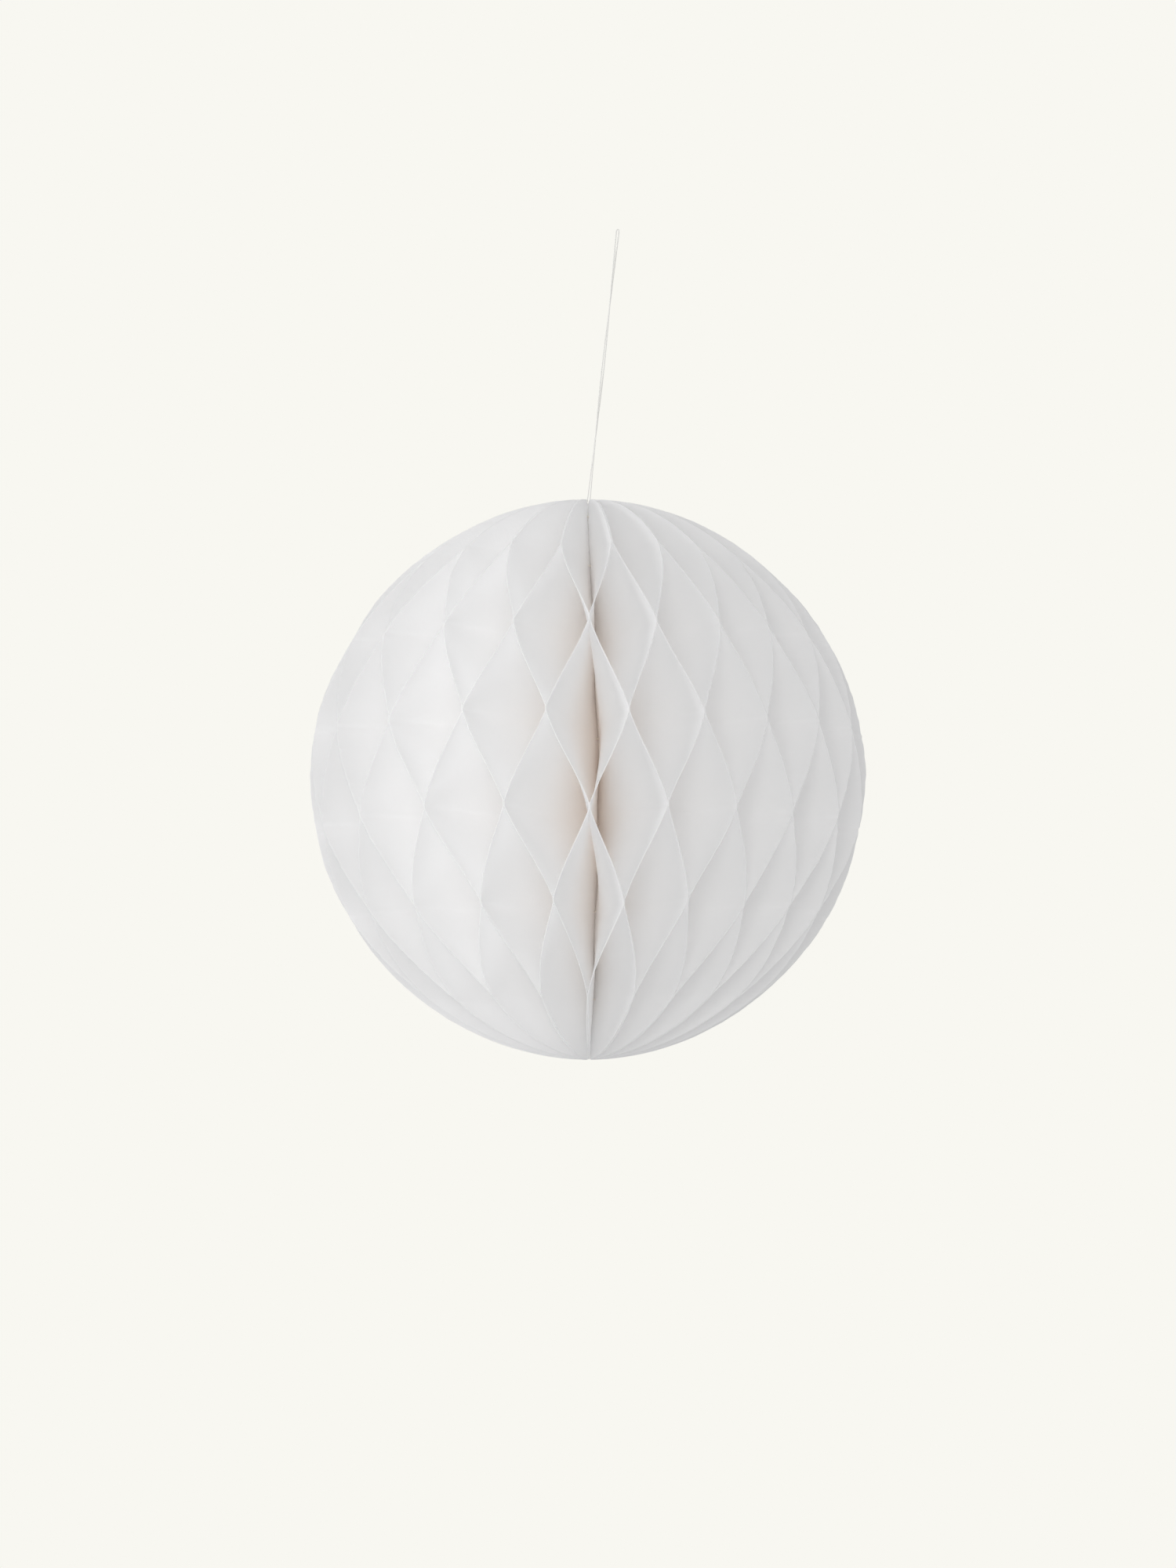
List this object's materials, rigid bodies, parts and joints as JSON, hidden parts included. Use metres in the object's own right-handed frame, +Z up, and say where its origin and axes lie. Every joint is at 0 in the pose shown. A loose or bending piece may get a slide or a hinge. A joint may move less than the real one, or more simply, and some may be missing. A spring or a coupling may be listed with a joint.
{
  "type": "honeycomb paper ball lantern",
  "caption": "Round accordion paper ball: folded leaves joined in a honeycomb, which open like a fan around a stitched spine, with a looped hanging string.",
  "frame": {"origin": "top of the hanging string's loop, where a hook or nail carries it", "axes": "+Z up, the ball's face with the centre fold towards -Y, +X to the right of someone who faces it"},
  "size_m": [0.1499, 0.1498, 0.226],
  "materials": {
    "leaf_paper": "matt white paper with fine fibre",
    "cover_board": "matt white board",
    "adhesive_tape": "translucent pressure-sensitive tape",
    "thread": "twisted cotton thread",
    "string": "fine twisted white cotton string"
  },
  "bodies": {
    "string": {"hanging_string": "string"},
    "knot": {"string_knot": "string"},
    "tie": {"top_tie": "thread"},
    "spine": {"cover_left": "cover_board", "closing_strips": "adhesive_tape", "spine_stitches": "thread"},
    "far_cover": {"cover_right": "cover_board"},
    "fold_01": {"leaf_01": "leaf_paper"},
    "fold_02": {"leaf_02": "leaf_paper"},
    "fold_03": {"leaf_03": "leaf_paper"},
    "fold_04": {"leaf_04": "leaf_paper"},
    "fold_05": {"leaf_05": "leaf_paper"},
    "fold_06": {"leaf_06": "leaf_paper"},
    "fold_07": {"leaf_07": "leaf_paper"},
    "fold_08": {"leaf_08": "leaf_paper"},
    "fold_09": {"leaf_09": "leaf_paper"},
    "fold_10": {"leaf_10": "leaf_paper"},
    "fold_11": {"leaf_11": "leaf_paper"},
    "fold_12": {"leaf_12": "leaf_paper"},
    "fold_13": {"leaf_13": "leaf_paper"},
    "fold_14": {"leaf_14": "leaf_paper"},
    "fold_15": {"leaf_15": "leaf_paper"},
    "fold_16": {"leaf_16": "leaf_paper"},
    "fold_17": {"leaf_17": "leaf_paper"},
    "fold_18": {"leaf_18": "leaf_paper"},
    "fold_19": {"leaf_19": "leaf_paper"},
    "fold_20": {"leaf_20": "leaf_paper"},
    "fold_21": {"leaf_21": "leaf_paper"},
    "fold_22": {"leaf_22": "leaf_paper"},
    "fold_23": {"leaf_23": "leaf_paper"},
    "fold_24": {"leaf_24": "leaf_paper"},
    "fold_25": {"leaf_25": "leaf_paper"},
    "fold_26": {"leaf_26": "leaf_paper"},
    "fold_27": {"leaf_27": "leaf_paper"},
    "fold_28": {"leaf_28": "leaf_paper"},
    "fold_29": {"leaf_29": "leaf_paper"},
    "fold_30": {"leaf_30": "leaf_paper"},
    "fold_31": {"leaf_31": "leaf_paper"},
    "fold_32": {"leaf_32": "leaf_paper"},
    "fold_33": {"leaf_33": "leaf_paper"},
    "fold_34": {"leaf_34": "leaf_paper"},
    "fold_35": {"leaf_35": "leaf_paper"},
    "fold_36": {"leaf_36": "leaf_paper"},
    "fold_37": {"leaf_37": "leaf_paper"},
    "fold_38": {"leaf_38": "leaf_paper"},
    "fold_39": {"leaf_39": "leaf_paper"},
    "fold_40": {"leaf_40": "leaf_paper"},
    "fold_41": {"leaf_41": "leaf_paper"},
    "fold_42": {"leaf_42": "leaf_paper"}
  },
  "joints": [
    {"name": "swing_side", "type": "hinge", "parent": "string", "child": "knot", "pos_m": [-0.00812, 0, -0.07597], "axis": [0, 1, 0], "range_deg": [-45, 45]},
    {"name": "swing_front", "type": "hinge", "parent": "knot", "child": "tie", "pos_m": [-0.00812, 0, -0.07597], "axis": [1, 0, 0], "range_deg": [-45, 45]},
    {"name": "spin", "type": "hinge", "parent": "tie", "child": "spine", "pos_m": [-0.00812, 0, -0.15027], "axis": [0, 0, 1], "continuous": true},
    {"name": "unfold", "type": "hinge", "parent": "spine", "child": "far_cover", "pos_m": [-0.00812, 0, -0.15027], "axis": [0, 0, 1], "range_deg": [-352, 0]},
    {"name": "unfold_01", "type": "hinge", "parent": "spine", "child": "fold_01", "pos_m": [-0.00812, 0, -0.15027], "axis": [0, 0, 1], "range_deg": [-3.68, 0], "deforming": ["leaf_01"]},
    {"name": "unfold_02", "type": "hinge", "parent": "spine", "child": "fold_02", "pos_m": [-0.00812, 0, -0.15027], "axis": [0, 0, 1], "range_deg": [-10.95, 0], "deforming": ["leaf_02"]},
    {"name": "unfold_03", "type": "hinge", "parent": "spine", "child": "fold_03", "pos_m": [-0.00812, 0, -0.15027], "axis": [0, 0, 1], "range_deg": [-18.14, 0], "deforming": ["leaf_03"]},
    {"name": "unfold_04", "type": "hinge", "parent": "spine", "child": "fold_04", "pos_m": [-0.00812, 0, -0.15027], "axis": [0, 0, 1], "range_deg": [-25.33, 0], "deforming": ["leaf_04"]},
    {"name": "unfold_05", "type": "hinge", "parent": "spine", "child": "fold_05", "pos_m": [-0.00812, 0, -0.15027], "axis": [0, 0, 1], "range_deg": [-32.61, 0], "deforming": ["leaf_05"]},
    {"name": "unfold_06", "type": "hinge", "parent": "spine", "child": "fold_06", "pos_m": [-0.00812, 0, -0.15027], "axis": [0, 0, 1], "range_deg": [-40.08, 0], "deforming": ["leaf_06"]},
    {"name": "unfold_07", "type": "hinge", "parent": "spine", "child": "fold_07", "pos_m": [-0.00812, 0, -0.15027], "axis": [0, 0, 1], "range_deg": [-47.8, 0], "deforming": ["leaf_07"]},
    {"name": "unfold_08", "type": "hinge", "parent": "spine", "child": "fold_08", "pos_m": [-0.00812, 0, -0.15027], "axis": [0, 0, 1], "range_deg": [-55.82, 0], "deforming": ["leaf_08"]},
    {"name": "unfold_09", "type": "hinge", "parent": "spine", "child": "fold_09", "pos_m": [-0.00812, 0, -0.15027], "axis": [0, 0, 1], "range_deg": [-64.19, 0], "deforming": ["leaf_09"]},
    {"name": "unfold_10", "type": "hinge", "parent": "spine", "child": "fold_10", "pos_m": [-0.00812, 0, -0.15027], "axis": [0, 0, 1], "range_deg": [-72.9, 0], "deforming": ["leaf_10"]},
    {"name": "unfold_11", "type": "hinge", "parent": "spine", "child": "fold_11", "pos_m": [-0.00812, 0, -0.15027], "axis": [0, 0, 1], "range_deg": [-81.93, 0], "deforming": ["leaf_11"]},
    {"name": "unfold_12", "type": "hinge", "parent": "spine", "child": "fold_12", "pos_m": [-0.00812, 0, -0.15027], "axis": [0, 0, 1], "range_deg": [-91.22, 0], "deforming": ["leaf_12"]},
    {"name": "unfold_13", "type": "hinge", "parent": "spine", "child": "fold_13", "pos_m": [-0.00812, 0, -0.15027], "axis": [0, 0, 1], "range_deg": [-100.72, 0], "deforming": ["leaf_13"]},
    {"name": "unfold_14", "type": "hinge", "parent": "spine", "child": "fold_14", "pos_m": [-0.00812, 0, -0.15027], "axis": [0, 0, 1], "range_deg": [-110.34, 0], "deforming": ["leaf_14"]},
    {"name": "unfold_15", "type": "hinge", "parent": "spine", "child": "fold_15", "pos_m": [-0.00812, 0, -0.15027], "axis": [0, 0, 1], "range_deg": [-119.98, 0], "deforming": ["leaf_15"]},
    {"name": "unfold_16", "type": "hinge", "parent": "spine", "child": "fold_16", "pos_m": [-0.00812, 0, -0.15027], "axis": [0, 0, 1], "range_deg": [-129.55, 0], "deforming": ["leaf_16"]},
    {"name": "unfold_17", "type": "hinge", "parent": "spine", "child": "fold_17", "pos_m": [-0.00812, 0, -0.15027], "axis": [0, 0, 1], "range_deg": [-138.97, 0], "deforming": ["leaf_17"]},
    {"name": "unfold_18", "type": "hinge", "parent": "spine", "child": "fold_18", "pos_m": [-0.00812, 0, -0.15027], "axis": [0, 0, 1], "range_deg": [-148.16, 0], "deforming": ["leaf_18"]},
    {"name": "unfold_19", "type": "hinge", "parent": "spine", "child": "fold_19", "pos_m": [-0.00812, 0, -0.15027], "axis": [0, 0, 1], "range_deg": [-157.09, 0], "deforming": ["leaf_19"]},
    {"name": "unfold_20", "type": "hinge", "parent": "spine", "child": "fold_20", "pos_m": [-0.00812, 0, -0.15027], "axis": [0, 0, 1], "range_deg": [-165.71, 0], "deforming": ["leaf_20"]},
    {"name": "unfold_21", "type": "hinge", "parent": "spine", "child": "fold_21", "pos_m": [-0.00812, 0, -0.15027], "axis": [0, 0, 1], "range_deg": [-174.05, 0], "deforming": ["leaf_21"]},
    {"name": "unfold_22", "type": "hinge", "parent": "spine", "child": "fold_22", "pos_m": [-0.00812, 0, -0.15027], "axis": [0, 0, 1], "range_deg": [-182.11, 0], "deforming": ["leaf_22"]},
    {"name": "unfold_23", "type": "hinge", "parent": "spine", "child": "fold_23", "pos_m": [-0.00812, 0, -0.15027], "axis": [0, 0, 1], "range_deg": [-189.95, 0], "deforming": ["leaf_23"]},
    {"name": "unfold_24", "type": "hinge", "parent": "spine", "child": "fold_24", "pos_m": [-0.00812, 0, -0.15027], "axis": [0, 0, 1], "range_deg": [-197.64, 0], "deforming": ["leaf_24"]},
    {"name": "unfold_25", "type": "hinge", "parent": "spine", "child": "fold_25", "pos_m": [-0.00812, 0, -0.15027], "axis": [0, 0, 1], "range_deg": [-205.25, 0], "deforming": ["leaf_25"]},
    {"name": "unfold_26", "type": "hinge", "parent": "spine", "child": "fold_26", "pos_m": [-0.00812, 0, -0.15027], "axis": [0, 0, 1], "range_deg": [-212.87, 0], "deforming": ["leaf_26"]},
    {"name": "unfold_27", "type": "hinge", "parent": "spine", "child": "fold_27", "pos_m": [-0.00812, 0, -0.15027], "axis": [0, 0, 1], "range_deg": [-220.58, 0], "deforming": ["leaf_27"]},
    {"name": "unfold_28", "type": "hinge", "parent": "spine", "child": "fold_28", "pos_m": [-0.00812, 0, -0.15027], "axis": [0, 0, 1], "range_deg": [-228.44, 0], "deforming": ["leaf_28"]},
    {"name": "unfold_29", "type": "hinge", "parent": "spine", "child": "fold_29", "pos_m": [-0.00812, 0, -0.15027], "axis": [0, 0, 1], "range_deg": [-236.5, 0], "deforming": ["leaf_29"]},
    {"name": "unfold_30", "type": "hinge", "parent": "spine", "child": "fold_30", "pos_m": [-0.00812, 0, -0.15027], "axis": [0, 0, 1], "range_deg": [-244.8, 0], "deforming": ["leaf_30"]},
    {"name": "unfold_31", "type": "hinge", "parent": "spine", "child": "fold_31", "pos_m": [-0.00812, 0, -0.15027], "axis": [0, 0, 1], "range_deg": [-253.34, 0], "deforming": ["leaf_31"]},
    {"name": "unfold_32", "type": "hinge", "parent": "spine", "child": "fold_32", "pos_m": [-0.00812, 0, -0.15027], "axis": [0, 0, 1], "range_deg": [-262.1, 0], "deforming": ["leaf_32"]},
    {"name": "unfold_33", "type": "hinge", "parent": "spine", "child": "fold_33", "pos_m": [-0.00812, 0, -0.15027], "axis": [0, 0, 1], "range_deg": [-271.03, 0], "deforming": ["leaf_33"]},
    {"name": "unfold_34", "type": "hinge", "parent": "spine", "child": "fold_34", "pos_m": [-0.00812, 0, -0.15027], "axis": [0, 0, 1], "range_deg": [-280.08, 0], "deforming": ["leaf_34"]},
    {"name": "unfold_35", "type": "hinge", "parent": "spine", "child": "fold_35", "pos_m": [-0.00812, 0, -0.15027], "axis": [0, 0, 1], "range_deg": [-289.17, 0], "deforming": ["leaf_35"]},
    {"name": "unfold_36", "type": "hinge", "parent": "spine", "child": "fold_36", "pos_m": [-0.00812, 0, -0.15027], "axis": [0, 0, 1], "range_deg": [-298.22, 0], "deforming": ["leaf_36"]},
    {"name": "unfold_37", "type": "hinge", "parent": "spine", "child": "fold_37", "pos_m": [-0.00812, 0, -0.15027], "axis": [0, 0, 1], "range_deg": [-307.16, 0], "deforming": ["leaf_37"]},
    {"name": "unfold_38", "type": "hinge", "parent": "spine", "child": "fold_38", "pos_m": [-0.00812, 0, -0.15027], "axis": [0, 0, 1], "range_deg": [-315.9, 0], "deforming": ["leaf_38"]},
    {"name": "unfold_39", "type": "hinge", "parent": "spine", "child": "fold_39", "pos_m": [-0.00812, 0, -0.15027], "axis": [0, 0, 1], "range_deg": [-324.41, 0], "deforming": ["leaf_39"]},
    {"name": "unfold_40", "type": "hinge", "parent": "spine", "child": "fold_40", "pos_m": [-0.00812, 0, -0.15027], "axis": [0, 0, 1], "range_deg": [-332.63, 0], "deforming": ["leaf_40"]},
    {"name": "unfold_41", "type": "hinge", "parent": "spine", "child": "fold_41", "pos_m": [-0.00812, 0, -0.15027], "axis": [0, 0, 1], "range_deg": [-340.57, 0], "deforming": ["leaf_41"]},
    {"name": "unfold_42", "type": "hinge", "parent": "spine", "child": "fold_42", "pos_m": [-0.00812, 0, -0.15027], "axis": [0, 0, 1], "range_deg": [-348.24, 0], "deforming": ["leaf_42"]}
  ],
  "couplings": [
    {"joint": "unfold_01", "follows": "unfold", "ratio": 0.010424},
    {"joint": "unfold_02", "follows": "unfold", "ratio": 0.031086},
    {"joint": "unfold_03", "follows": "unfold", "ratio": 0.051503},
    {"joint": "unfold_04", "follows": "unfold", "ratio": 0.071928},
    {"joint": "unfold_05", "follows": "unfold", "ratio": 0.092621},
    {"joint": "unfold_06", "follows": "unfold", "ratio": 0.11383},
    {"joint": "unfold_07", "follows": "unfold", "ratio": 0.13576},
    {"joint": "unfold_08", "follows": "unfold", "ratio": 0.15856},
    {"joint": "unfold_09", "follows": "unfold", "ratio": 0.18233},
    {"joint": "unfold_10", "follows": "unfold", "ratio": 0.20707},
    {"joint": "unfold_11", "follows": "unfold", "ratio": 0.23271},
    {"joint": "unfold_12", "follows": "unfold", "ratio": 0.25913},
    {"joint": "unfold_13", "follows": "unfold", "ratio": 0.28611},
    {"joint": "unfold_14", "follows": "unfold", "ratio": 0.31343},
    {"joint": "unfold_15", "follows": "unfold", "ratio": 0.34081},
    {"joint": "unfold_16", "follows": "unfold", "ratio": 0.368},
    {"joint": "unfold_17", "follows": "unfold", "ratio": 0.39476},
    {"joint": "unfold_18", "follows": "unfold", "ratio": 0.42089},
    {"joint": "unfold_19", "follows": "unfold", "ratio": 0.44624},
    {"joint": "unfold_20", "follows": "unfold", "ratio": 0.47075},
    {"joint": "unfold_21", "follows": "unfold", "ratio": 0.49442},
    {"joint": "unfold_22", "follows": "unfold", "ratio": 0.51733},
    {"joint": "unfold_23", "follows": "unfold", "ratio": 0.53961},
    {"joint": "unfold_24", "follows": "unfold", "ratio": 0.56145},
    {"joint": "unfold_25", "follows": "unfold", "ratio": 0.58308},
    {"joint": "unfold_26", "follows": "unfold", "ratio": 0.60473},
    {"joint": "unfold_27", "follows": "unfold", "ratio": 0.62662},
    {"joint": "unfold_28", "follows": "unfold", "ratio": 0.64895},
    {"joint": "unfold_29", "follows": "unfold", "ratio": 0.67186},
    {"joint": "unfold_30", "follows": "unfold", "ratio": 0.69543},
    {"joint": "unfold_31", "follows": "unfold", "ratio": 0.71968},
    {"joint": "unfold_32", "follows": "unfold", "ratio": 0.74456},
    {"joint": "unfold_33", "follows": "unfold", "ratio": 0.76994},
    {"joint": "unfold_34", "follows": "unfold", "ratio": 0.79565},
    {"joint": "unfold_35", "follows": "unfold", "ratio": 0.82148},
    {"joint": "unfold_36", "follows": "unfold", "ratio": 0.8472},
    {"joint": "unfold_37", "follows": "unfold", "ratio": 0.87258},
    {"joint": "unfold_38", "follows": "unfold", "ratio": 0.89743},
    {"joint": "unfold_39", "follows": "unfold", "ratio": 0.92158},
    {"joint": "unfold_40", "follows": "unfold", "ratio": 0.94495},
    {"joint": "unfold_41", "follows": "unfold", "ratio": 0.9675},
    {"joint": "unfold_42", "follows": "unfold", "ratio": 0.98929}
  ]
}
